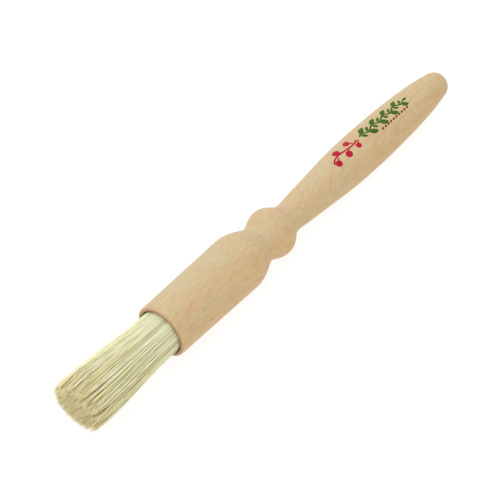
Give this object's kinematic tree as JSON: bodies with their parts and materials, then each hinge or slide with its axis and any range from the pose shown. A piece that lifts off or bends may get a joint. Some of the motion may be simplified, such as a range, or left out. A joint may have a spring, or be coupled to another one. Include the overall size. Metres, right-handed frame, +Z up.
{
  "type": "pastry brush",
  "caption": "Round pastry brush with a turned wooden handle and a flexible tuft of pale natural bristles glued into a bored socket.",
  "frame": {"origin": "on the worktop that the brush lies on, under the middle of its bounding box", "axes": "the brush lies on its side along X with the bristles towards -X and the end of the handle towards +X; +Z is up. It rests on the barrel's shoulder and the grip's belly, so its own axis is tipped 2.0 degrees, bristle end up, in the XZ plane."},
  "size_m": [0.2246, 0.0238, 0.0266],
  "materials": {
    "beech": "satin",
    "glue": "gloss",
    "twine": "matte",
    "bristle": "satin",
    "print_red": "satin",
    "print_green": "satin",
    "print_brown": "satin"
  },
  "bodies": {
    "brush_handle": {"handle": "beech", "glue_plug": "glue", "binding_cord": "twine", "bristle_root": "bristle"},
    "bending_zone": {"bristle_neck": "bristle"},
    "tuft": {"bristle_lock_01": "bristle", "bristle_lock_02": "bristle", "bristle_lock_03": "bristle", "bristle_lock_04": "bristle", "bristle_lock_05": "bristle", "bristle_lock_06": "bristle", "bristle_lock_07": "bristle", "bristle_lock_08": "bristle", "bristle_lock_09": "bristle", "bristle_lock_10": "bristle", "bristle_lock_11": "bristle", "bristle_lock_12": "bristle", "bristle_lock_13": "bristle", "bristle_lock_14": "bristle", "bristle_lock_15": "bristle", "bristle_lock_16": "bristle"}
  },
  "joints": [
    {"name": "tuft_sway", "type": "hinge", "parent": "brush_handle", "child": "bending_zone", "pos_m": [-0.06621, 0, 0.01372], "axis": [0, 1, 0], "range_deg": [-30, 30], "stiffness_Nm_per_rad": 0.06, "deforming": ["bristle_neck"]},
    {"name": "tuft_swing", "type": "hinge", "parent": "bending_zone", "child": "tuft", "pos_m": [-0.0732, 0, 0.01397], "axis": [0.0354, 0, 0.9994], "range_deg": [-30, 30], "stiffness_Nm_per_rad": 0.06, "deforming": ["bristle_neck"]}
  ]
}
